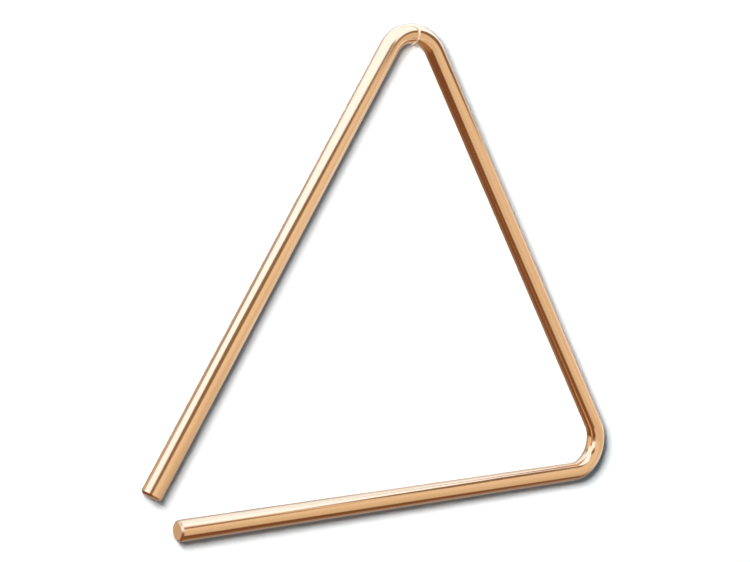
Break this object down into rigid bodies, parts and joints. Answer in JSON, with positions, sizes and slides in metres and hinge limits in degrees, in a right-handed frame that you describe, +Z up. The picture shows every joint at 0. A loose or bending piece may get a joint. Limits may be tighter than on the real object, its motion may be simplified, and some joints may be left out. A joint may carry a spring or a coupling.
{
  "type": "triangle instrument",
  "caption": "Hung percussion triangle: a polished bronze bar bent to a triangle with one open corner, on a tied loop of clear nylon line.",
  "frame": {"origin": "on the axis of the peg or hook that the nylon loop hangs on, above the apex of the bar", "axes": "+Z up, +X along the foot leg towards its closed corner, the triangle lying in the XZ plane"},
  "size_m": [0.2371, 0.0095, 0.2465],
  "materials": {
    "bronze": "polished, with a fine drawn grain along the bar",
    "nylon": "clear smooth monofilament"
  },
  "bodies": {
    "line": {"hang_line": "nylon", "line_knot": "nylon"},
    "bar": {"triangle_bar": "bronze"}
  },
  "joints": [
    {"name": "bar_swing", "type": "hinge", "parent": "line", "child": "bar", "pos_m": [0, 0, -0.05], "axis": [-1, 0, 0], "continuous": true}
  ]
}
